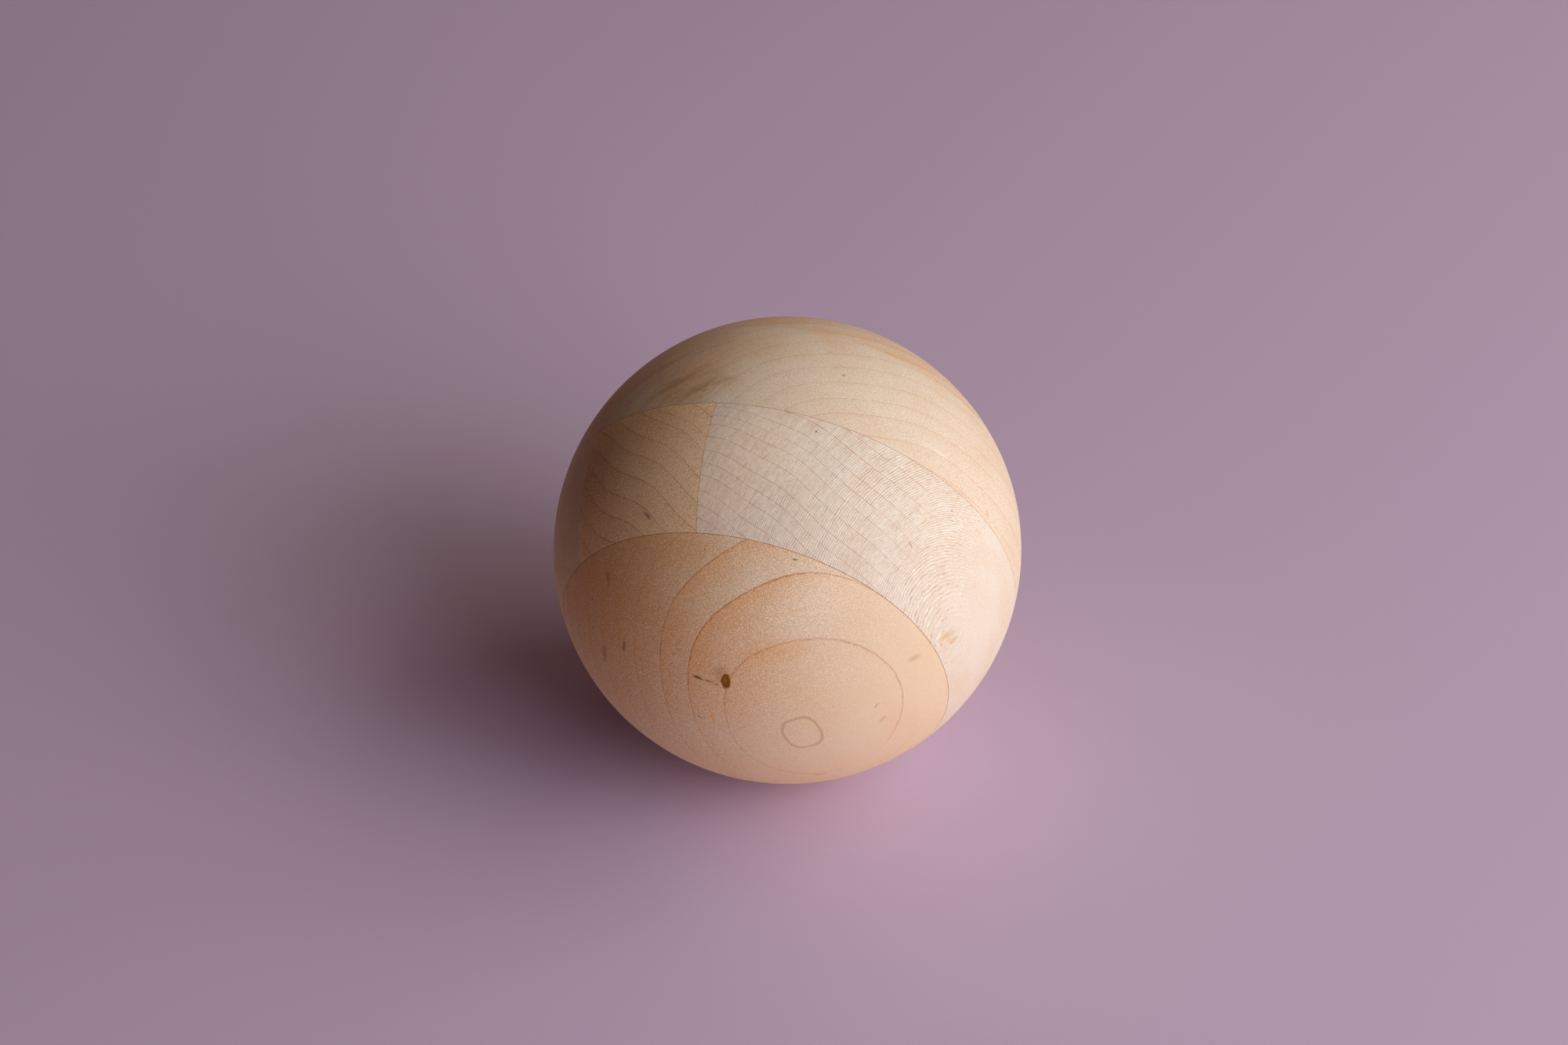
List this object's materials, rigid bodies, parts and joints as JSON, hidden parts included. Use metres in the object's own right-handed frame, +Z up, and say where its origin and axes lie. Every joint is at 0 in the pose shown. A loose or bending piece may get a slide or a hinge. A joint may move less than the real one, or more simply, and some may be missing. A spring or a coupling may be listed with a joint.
{
  "type": "wooden ball",
  "caption": "Solid turned ball of light maple, glued up from blocks whose grain meets at fine glue lines.",
  "frame": {"origin": "centre of the ball", "axes": "+Z up as the ball lies; the front board faces -Y and a little down, and the rings' bullseye is at the lower front"},
  "size_m": [0.07, 0.07, 0.07],
  "materials": {
    "front_maple": "sanded, oiled, satin",
    "pale_maple": "sanded, oiled, satin",
    "tan_maple": "sanded, oiled, satin",
    "left_maple": "sanded, oiled, satin",
    "upper_maple": "sanded, oiled, satin",
    "rear_maple": "sanded, oiled, satin"
  },
  "bodies": {
    "root": {"front_board": "front_maple", "right_stave": "pale_maple", "centre_stave": "tan_maple", "left_stave": "left_maple", "upper_board": "upper_maple", "rear_board": "rear_maple"}
  },
  "joints": []
}
